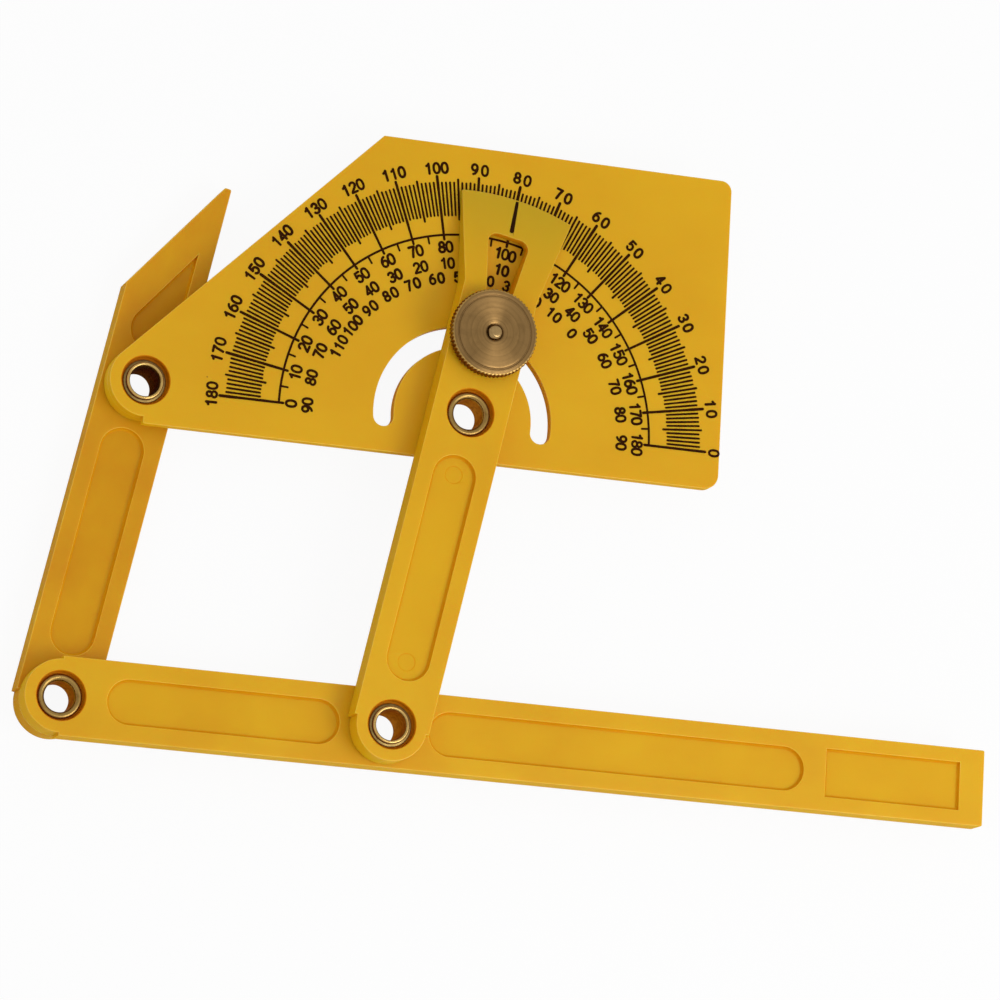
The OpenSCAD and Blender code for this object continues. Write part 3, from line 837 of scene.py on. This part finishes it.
# Brass at the pivots
def eyelet_piece(grip, seed):
    """Tube with a flange and a rolled lip; the seat of the flange is at height zero."""
    base = -FLANGE_T - FLOAT
    lip_z = grip + RING_T + CURL_R + 2 * FLOAT
    path = [(FLANGE_R - 0.06, base + FLANGE_T), (FLANGE_R, base + FLANGE_T - 0.06),
            (FLANGE_R, base + 0.38), (FLANGE_R - 0.05, base + 0.26), (FLANGE_R - 0.16, base + 0.16),
            (FLANGE_R - 0.34, base + 0.08), (FLANGE_R - 0.52, base + 0.03)]
    path += [tuple(p) for p in arc((BORE_R + MOUTH_R, base + MOUTH_R), MOUTH_R, *rad(270, 180), 10)]
    path += [(BORE_R, grip * k / 4) for k in range(1, 4)]
    path += [tuple(p) for p in arc((BORE_R + CURL_R, lip_z), CURL_R, *rad(180, -80), 18)]
    path += [(BORE_R + CURL_R + 0.02, lip_z - CURL_R * 0.9), (TUBE_R, lip_z - CURL_R),
             (TUBE_R, base + FLANGE_T)]
    dice = random.Random(seed)
    waves = [(dice.choice((3, 4, 5, 7, 9)), dice.uniform(0, 6.28), dice.uniform(0.008, 0.02))
             for _ in range(4)]

    def shape(r, z, a, k):
        roll = max(0.0, z - (lip_z - CURL_R)) / CURL_R
        wobble = sum(d * math.sin(m * a + p) for m, p, d in waves) * min(1.0, roll)
        return r + wobble * 0.5, z + wobble * 0.4 * min(1.0, roll)

    shell = Shell()
    shell.turn(path, n=96, closed=True, shape=shape)
    # Slot 1, the bore, takes painted reflection and, in the nose, painted shade; slot 2, the rolled lip and
    # the flange's mouth, a painted highlight.
    for i, middle in shell.middles():
        reach = math.hypot(middle.x, middle.y)
        if reach < BORE_R + 0.04 and base + MOUTH_R < middle.z < lip_z:
            shell.slots[i] = 1
        elif middle.z > lip_z or reach < BORE_R + 0.34 and middle.z < base + MOUTH_R:
            shell.slots[i] = 2
    return shell


def ring_piece(grip):
    """Ring washer that the lip is rolled over."""
    z, hole = grip + FLOAT, TUBE_R + SNUG
    top = z + RING_T
    path = [(hole + 0.05, z), (RING_R - 0.05, z), (RING_R, z + 0.05), (RING_R, top - 0.16),
            (RING_R - 0.05, top - 0.06), (RING_R - 0.16, top), (hole + 0.08, top), (hole, top - 0.08),
            (hole, z + 0.05)]
    shell = Shell()
    shell.turn(path, n=96, closed=True)
    return shell


def seat(at, z, lip_up):
    return place(at, z) @ (Matrix.Identity(4) if lip_up else Matrix.Rotation(math.pi, 4, "X"))


flange_look = brass("eyelet_brass", srgb(142, 114, 62), BRASS_DULL, (0.22, 0.36), tarnish=0.6, seed=0.4)
# The lip and the flange's mouth are lighter than the flange: a painted highlight.
lip_painted_highlight = brass("lip_highlight_brass", srgb(182, 150, 88), srgb(124, 94, 48), (0.16, 0.28), seed=1.9)
# The bore is more orange than the flange: a painted reflection of the yellow plastic round it.
bore_painted_reflection = brass("bore_brass", srgb(178, 126, 62), srgb(128, 84, 36), (0.4, 0.56), tarnish=0.6, seed=2.6)
# The nose's long bore is darker still: painted shade deep inside it.
nose_bore_painted_shade = brass("dark_bore_brass", srgb(112, 76, 42), srgb(68, 44, 24), (0.45, 0.6), tarnish=0.6, seed=3.1)
ring_look = brass("ring_brass", srgb(134, 112, 66), srgb(92, 70, 34), (0.3, 0.44), rings=0.004,
                  tarnish=0.6, seed=1.2)
for name, at, z, grip, up in (("nose", NOSE, LOW_Z + BACK_RECESS, LONG_GRIP, True),
                              ("centre", (0, 0), TOP_FACE - RECESS_DEPTH, SHORT_GRIP, False),
                              ("elbow", ELBOW, MIDDLE_Z + BACK_RECESS, LONG_GRIP, True),
                              ("tail", TAIL, -RECESS_DEPTH, SHORT_GRIP, False)):
    tube = eyelet_piece(grip, name).object(
        name + "_rolled_eyelet", [flange_look, nose_bore_painted_shade if name == "nose" else bore_painted_reflection, lip_painted_highlight],
        seat(at, z, up))
    dress(tube, carrier(name + "_eyelet"), name + "_eyelet")
    ring = ring_piece(grip).object(name + "_pressed_ring", [ring_look], seat(at, z, up))
    dress(ring, carrier(name + "_ring_washer"), name + "_ring_washer")


# Clamp
def nut_piece():
    """Thumb nut with a narrow foot, a knurled side and a ring groove in its face."""
    foot, top = 0.4, NUT_H
    edge = NUT_R - 0.45
    hole = SHANK_R + RUNNING
    rim = top - 0.33
    path = [(hole, 0.3), (hole + 0.25, 0.0), (6.3, 0.0), (6.45, 0.1), (6.5, foot), (edge - 0.25, foot),
            (edge, foot + 0.05), (NUT_R - 0.12, foot + 0.42), (NUT_R, foot + 0.62), (NUT_R, 1.6),
            (NUT_R, 2.6), (NUT_R, rim - 0.4), (NUT_R - 0.05, rim - 0.24), (NUT_R - 0.16, rim - 0.12),
            (NUT_R - 0.32, rim - 0.03), (NUT_R - 0.6, rim), (GROOVE_R + 0.8, top - 0.26),
            (GROOVE_R + 0.36, top - 0.14), (GROOVE_R + 0.2, top - 0.2), (GROOVE_R + 0.1, top - 0.36),
            (GROOVE_R - 0.1, top - 0.36), (GROOVE_R - 0.2, top - 0.14), (GROOVE_R - 0.34, top - 0.03),
            (GROOVE_R - 0.8, top), (7.0, top - 0.03), (5.0, top - 0.06), (hole + 0.85, top - 0.08),
            (hole + 0.45, top - 0.14), (hole, top - 0.6), (hole, 2.0)]

    def shape(r, z, a, k):
        if r > edge - 0.1 and foot < z < rim:
            deep = min(1.0, (z - foot) / 0.5, (rim - z) / 0.16)
            r -= KNURL_DEPTH * deep * (0.5 - 0.5 * math.cos(KNURLS * a)) ** 1.3
        return r, z

    shell = Shell()
    shell.turn(turned(path), n=KNURLS * 8, closed=True, shape=shape)
    for i, middle in shell.middles():
        if math.hypot(middle.x, middle.y) > NUT_R - 0.6 and middle.z < rim - 0.01:
            shell.slots[i] = 1
    return shell


def bolt_piece():
    """Carriage bolt: low domed head, square neck and a threaded shank."""
    head_top = -PLATE_T - FLOAT
    tip = NUT_Z + NUT_H + TIP_OUT
    rings = 80
    neck_top = -GAP
    path = [(SHANK_R, neck_top - 0.6 + (tip - neck_top + 0.15) * i / rings) for i in range(rings + 1)]
    path += [(SHANK_R - 0.32, tip - 0.2), (SHANK_R - 0.46, tip - 0.09), (SHANK_R - 0.66, tip - 0.03),
             (0.9, tip)]

    def shape(r, z, a, k):
        if 2 < k <= rings:
            phase = (z / THREAD_PITCH - a / math.tau) % 1.0
            r -= THREAD_DEPTH * abs(2 * phase - 1) ** 0.8 * min(1.0, (k - 2) / 4)
        return r, z

    shell = Shell()
    dome = [(0.3, head_top), (BOLT_HEAD_R - 0.1, head_top), (BOLT_HEAD_R, head_top - 0.12),
            (BOLT_HEAD_R, head_top - 0.35)]
    dome += [(BOLT_HEAD_R * math.cos(t) ** 0.8, head_top - 0.35 - (BOLT_HEAD_H - 0.35) * math.sin(t))
             for t in rad(*range(10, 90, 8))]
    for profile, n, form in ((turned(path), 48, shape), (dome, 72, None)):
        a, b = shell.turn(profile, n=n, shape=form)
        shell.face(turned(a))
        shell.face(b)
    neck = soften(turned(box_loop(-NECK_W / 2, NECK_W / 2, NECK_W)), 0.35)
    a, b = shell.walk(neck, [(0.25, neck_top, 0), (0.06, neck_top - 0.08, 0), (0, neck_top - 0.25, 0),
                             (0, head_top - 0.2, 0)])
    shell.cap([a], True)
    shell.cap([b], False)
    return shell


nut_face = brass("nut_face_brass", srgb(136, 106, 64), srgb(92, 69, 39), (0.3, 0.36), rings=0.02,
                 aniso=0.85, tarnish=0.3, seed=0.2, pitch=0.6)
nut_side = brass("nut_side_brass", srgb(158, 126, 70), srgb(100, 76, 38), (0.24, 0.38), seed=0.9)
bolt_look = brass("bolt_brass", srgb(158, 130, 86), srgb(98, 74, 42), (0.16, 0.28), rings=0.004,
                  tarnish=0.3, seed=1.7)
nut = nut_piece().object("knurled_nut", [nut_face, nut_side], place(CLAMP, NUT_Z))
dress(nut, carrier("thumb_nut"), "thumb_nut")
bolt = bolt_piece().object("threaded_bolt", [bolt_look], place(CLAMP), spin=ARM_ANGLE)
dress(bolt, carrier("clamp_bolt"), "clamp_bolt")


# Solids that keep their own shape
def finish_node(name, material, edge):
    """Gives a solid its material and a small round edge."""
    o = frame["nodes"][name]
    o.data.materials.clear()
    o.data.materials.append(material)
    bevel = o.modifiers.new("edges", "BEVEL")
    bevel.width = edge * MM
    bevel.segments = 3
    bevel.limit_method = "ANGLE"
    for p in o.data.polygons:
        p.use_smooth = True
    o.modifiers.new("weighted", "WEIGHTED_NORMAL")


white = nylon("washer_nylon", srgb(232, 228, 214), srgb(212, 206, 186))
for name in ("nose", "centre", "elbow", "tail"):
    finish_node(name + "_friction_washer", white, 0.05)
finish_node("clamp_washer", brass("washer_brass", BRASS, BRASS_DULL, (0.25, 0.4), seed=2.2), 0.12)

# Printed scale; its radii are in units of the arc's radius and the rest is in millimetres
SCALE_AT = Vector((0.97, -1.63))
SCALE_TURN = math.radians(0.13)
UNIT = 52.0
LABEL_SHIFT = 0.12
STROKE = 0.7
INK_UP = 0.04
INK_DOWN = 0.02
INK_STEP = 0.004

# Rows of numbers: radius, height, and the step between two digits and between three
ZERO_ROW = (1.362, 3.42, 2.9, 2.3)
OUTER_ROW = (1.3545, 3.42, 2.9, 2.3)
UNDER_ROW = (0.9355, 3.44, 2.1, 2.06)
MIDDLE_ROW = (0.8495, 3.34, 2.1, 2.1)
INNER_ROW = (0.774, 3.28, 2.5, 2.2)

# Lines: inner and outer radius, and width
TEN_LINE = (0.977, 1.31, 0.72)
FIVE_LINE = (1.08, 1.292, 0.6)
ONE_LINE = (1.103, 1.277, 0.57)
SHORT_MARK = (0.962, 1.0, 0.56)
ARC_WIDTH = 0.62

dice = random.Random(7)


def ellipse(cx, cy, rx, ry, start, stop, n=14, power=2.0):
    """Points of an ellipse, angles in degrees; a power above two makes it squarer."""
    out = []
    for i in range(n + 1):
        a = math.radians(start + (stop - start) * i / n)
        c, s = math.cos(a), math.sin(a)
        out.append(Vector((cx + rx * math.copysign(abs(c) ** (2 / power), c),
                           cy + ry * math.copysign(abs(s) ** (2 / power), s))))
    return out


# Each digit is a set of strokes in a box one high; a closed stroke repeats its first point
DIGITS = {
    "0": [ellipse(0, 0.5, 0.3, 0.5, 0, 360, 28, 2.25)],
    "1": [line((0.07, 0), (0.07, 1)), line((0.07, 0.99), (-0.02, 0.86), (-0.17, 0.78))],
    "2": [ellipse(0, 0.73, 0.27, 0.27, 165, -20, 14) + line((0.16, 0.48), (-0.12, 0.2), (-0.27, 0.0)),
          line((-0.27, 0), (0.29, 0))],
    "3": [ellipse(-0.01, 0.755, 0.25, 0.245, 155, -90, 14), ellipse(-0.01, 0.26, 0.28, 0.26, 90, -155, 14)],
    "4": [line((0.12, 0), (0.12, 1)), line((0.12, 1), (-0.31, 0.27)), line((-0.31, 0.27), (0.31, 0.27))],
    "5": [line((0.24, 1), (-0.19, 1)), line((-0.19, 1), (-0.24, 0.52)),
          ellipse(0, 0.33, 0.28, 0.33, 140, -150, 16)],
    "6": [ellipse(0, 0.31, 0.28, 0.31, 0, 360, 24), ellipse(0.2, 0.36, 0.48, 0.64, 180, 100, 10)],
    "7": [line((-0.28, 1), (0.28, 1)), line((0.28, 1), (0.1, 0.62), (-0.06, 0.0))],
    "8": [ellipse(0, 0.755, 0.235, 0.245, 0, 360, 22), ellipse(0, 0.26, 0.285, 0.26, 0, 360, 24)],
}
DIGITS["9"] = [[Vector((-p.x, 1 - p.y)) for p in stroke] for stroke in DIGITS["6"]]


def ribbon(shell, path, width, top, bottom=-INK_DOWN):
    """A raised line of ink with round ends; width may be a list, and top and bottom may vary along x."""
    closed = (path[0] - path[-1]).length < 1e-6
    if closed:
        path = path[:-1]
    n = len(path)
    widths = width if isinstance(width, list) else [width] * n
    left, right = [], []
    for i, p in enumerate(path):
        before = path[i - 1] if closed or i else p
        after = path[(i + 1) % n] if closed or i < n - 1 else p
        t = (after - before).normalized()
        u = (p - before).normalized() if before != p else t
        side = Vector((-t.y, t.x)) * (widths[i] / 2 / max(0.5, u.dot(t)))
        left.append(p + side)
        right.append(p - side)

    def lift(points, h):
        return shell.ring([(q.x, q.y, h(q.x) if callable(h) else h) for q in points])

    if closed:
        a, b, c, d = lift(left, top), lift(right, top), lift(left, bottom), lift(right, bottom)
        if sum(p.cross(q) for p, q in zip(path, path[1:] + path[:1])) < 0:
            a, b, c, d = (turned(x) for x in (b, a, d, c))
        for upper, lower in ((b, d), (c, a), (a, b), (d, c)):
            shell.strip(upper, lower)
        return
    ends = []
    for p, q, w in ((path[-1], path[-2], widths[-1]), (path[0], path[1], widths[0])):
        t = math.atan2((p - q).y, (p - q).x)
        ends.append(arc(p, w / 2, t - math.pi / 2, t + math.pi / 2, 6)[1:-1])
    outline = right + ends[0] + turned(left) + ends[1]
    a, b = lift(outline, top), lift(outline, bottom)
    shell.strip(a, b)
    m = len(ends[0])
    for ids, flip in ((a, False), (b, True)):
        r, e, l, s = ids[:n], ids[n:n + m], ids[n + m:2 * n + m][::-1], ids[2 * n + m:]
        quads = [[r[i], r[i + 1], l[i + 1], l[i]] for i in range(n - 1)]
        quads += [[r[-1], *e, l[-1]], [l[0], *s, r[0]]]
        for q in quads:
            shell.face(turned(q) if flip else q)


def on_scale(angle, radius):
    a = math.radians(angle) + SCALE_TURN
    return SCALE_AT + UNIT * radius * Vector((math.cos(a), math.sin(a)))


def label(shell, number, angle, row):
    """One number of a row, its foot towards the centre; each digit differs a little."""
    radius, high, step, close_step = row
    a = math.radians(angle) + SCALE_TURN
    up = Vector((math.cos(a), math.sin(a)))
    right = Vector((up.y, -up.x))
    body = high - STROKE
    text = str(number)
    advance = step if number < 100 else close_step
    for i, digit in enumerate(text):
        x = LABEL_SHIFT + (i - (len(text) - 1) / 2) * advance + dice.uniform(-0.05, 0.05)
        y = dice.uniform(-0.04, 0.04)
        tilt = math.radians(dice.uniform(-1.2, 1.2))
        weight = STROKE * dice.uniform(0.94, 1.06)
        c, s = math.cos(tilt), math.sin(tilt)
        for j, path in enumerate(DIGITS[digit]):
            points = []
            for p in path:
                q = Vector((p.x, p.y - 0.5)) * body
                q = Vector((q.x * c - q.y * s, q.x * s + q.y * c))
                points.append(on_scale(angle, radius) + right * (q.x + x) + up * (q.y + y))
            ribbon(shell, points, weight, INK_UP - INK_STEP * j)


numbers = Shell()
for v in range(0, 181, 10):
    label(numbers, v, v, OUTER_ROW if v else ZERO_ROW)
    label(numbers, 180 - v, v, UNDER_ROW)
    label(numbers, abs(v - 90), v, MIDDLE_ROW)
for v in range(0, 111, 10):
    label(numbers, v, v + 45, INNER_ROW)

lines = Shell()
base = ellipse(0, 0, UNIT, UNIT, math.degrees(SCALE_TURN), 180 + math.degrees(SCALE_TURN), 150)
ribbon(lines, [SCALE_AT + p for p in base], ARC_WIDTH, INK_UP - 2 * INK_STEP)
for a in range(181):
    inner, outer, width = TEN_LINE if a % 10 == 0 else FIVE_LINE if a % 5 == 0 else ONE_LINE
    if a % 10 == 5:
        start, stop, mark_width = SHORT_MARK
        ribbon(lines, [on_scale(a, start), on_scale(a, stop)], mark_width, INK_UP - INK_STEP)
    inner += dice.uniform(-0.002, 0.002)
    outer += dice.uniform(-0.002, 0.002)
    path = [on_scale(a, inner + (outer - inner) * i / 6) for i in range(7)]
    widths = [width * dice.uniform(0.92, 1.08) for _ in range(7)]
    if a % 10 == 0:
        widths[-1] *= 1.12
        widths[-2] *= 1.1
    ribbon(lines, path, widths, INK_UP - INK_STEP / 2 * (a % 2))

print_ink = ink("scale_ink", srgb(46, 18, 0), srgb(94, 52, 10))
for name, shell in (("scale_numbers", numbers), ("scale_lines", lines)):
    piece = shell.object(name, [print_ink], smooth=False)
    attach(piece, "plate")

# The ink in the groove of the pointer's head narrows outwards
INDEX_INK_START, INDEX_INK_STOP = 53.2, 61.85
INDEX_STEPS = 12
mark = Shell()
path = [Vector((INDEX_INK_START + (INDEX_INK_STOP - INDEX_INK_START) * i / INDEX_STEPS, INDEX_SIDE))
        for i in range(INDEX_STEPS + 1)]
widths = [1.14 - 0.32 * (i / INDEX_STEPS) + dice.uniform(-0.05, 0.05) for i in range(INDEX_STEPS + 1)]
ribbon(mark, path, widths, above(head_z, -0.03), above(head_z, -0.24))
piece = mark.object("index_line", [ink("index_ink", srgb(38, 18, 4), srgb(66, 40, 12))],
                    smooth=False, spin=ARM_ANGLE)
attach(piece, "pointer")

# Floor, light and camera, in metres
FLOOR_Z = (LOW_Z - 0.05) * MM
FLOOR_HALF = 2.5
FLOOR_GREY = (0.82, 0.82, 0.82, 1)
FLOOR_WHITE = 0.93
WHITE = (1, 1, 1, 1)
WORLD_LEVEL = 0.69
LAMP_AIM = Vector((0.03, -0.02, 0))
CAMERA_AT = (-0.3961, -0.29749, 1.3382)
CAMERA_TURN = rad(10.209, -17.5356, 3.2461)
CAMERA_LENS = 191.42


def white_for_viewer(tree, lit, plain, seen):
    """Mixes a lit shader with plain white for camera, glossy and transmission rays."""
    rays = new_node(tree, "ShaderNodeLightPath", {})
    viewer = rays["Is Camera Ray"]
    for kind in ("Is Glossy Ray", "Is Transmission Ray"):
        viewer = new_node(tree, "ShaderNodeMath", {0: viewer, 1: rays[kind]}, operation="MAXIMUM")[0]
    share = new_node(tree, "ShaderNodeMath", {0: viewer, 1: seen}, operation="MULTIPLY")[0]
    return new_node(tree, "ShaderNodeMixShader", {0: share, 1: lit, 2: plain})[0]


floor_mesh = bpy.data.meshes.new("floor")
corners = [(x * FLOOR_HALF, y * FLOOR_HALF, 0) for x, y in ((-1, -1), (1, -1), (1, 1), (-1, 1))]
floor_mesh.from_pydata(corners, [], [(0, 1, 2, 3)])
floor = add("floor", floor_mesh)
floor.location = (0, 0, FLOOR_Z)
floor_look = bpy.data.materials.new("floor_paper")
floor_look.use_nodes = True
tree = floor_look.node_tree
tree.nodes.remove(tree.nodes["Principled BSDF"])
lit = new_node(tree, "ShaderNodeBsdfDiffuse", {"Color": FLOOR_GREY})[0]
glow = new_node(tree, "ShaderNodeEmission", {"Color": WHITE})[0]
feed(tree, white_for_viewer(tree, lit, glow, FLOOR_WHITE), tree.nodes["Material Output"].inputs["Surface"])
floor_mesh.materials.append(floor_look)

world = bpy.data.worlds.new("studio")
bpy.context.scene.world = world
world.use_nodes = True
tree = world.node_tree
tree.nodes.remove(tree.nodes["Background"])
soft, plain = (new_node(tree, "ShaderNodeBackground", {"Color": WHITE, "Strength": strength})[0]
               for strength in (WORLD_LEVEL, 1.0))
feed(tree, white_for_viewer(tree, soft, plain, 1.0), tree.nodes["World Output"].inputs["Surface"])


def soft_box(name, at, side, watts):
    lamp = bpy.data.lights.new(name, "AREA")
    lamp.shape = "SQUARE"
    lamp.size = side
    lamp.energy = watts
    o = add(name, lamp)
    o.location = at
    o.rotation_euler = (LAMP_AIM - Vector(at)).to_track_quat("-Z", "Y").to_euler()
    return o


soft_box("key_light", (0.42, -0.31, 0.58), 0.42, 2.0)
gloss_light = soft_box("gloss_light", (0.36, -0.3, 1.2), 0.3, 2.7)
gloss_light.visible_diffuse = False

camera_data = bpy.data.cameras.new("camera")
camera_data.lens = CAMERA_LENS
camera_data.sensor_width = 36
camera_data.clip_start = 0.05
camera_data.clip_end = 20
camera = add("camera", camera_data)
camera.location = CAMERA_AT
camera.rotation_euler = Euler(CAMERA_TURN)
bpy.context.scene.camera = camera

bpy.context.scene.view_settings.view_transform = "Standard"
bpy.context.view_layer.update()
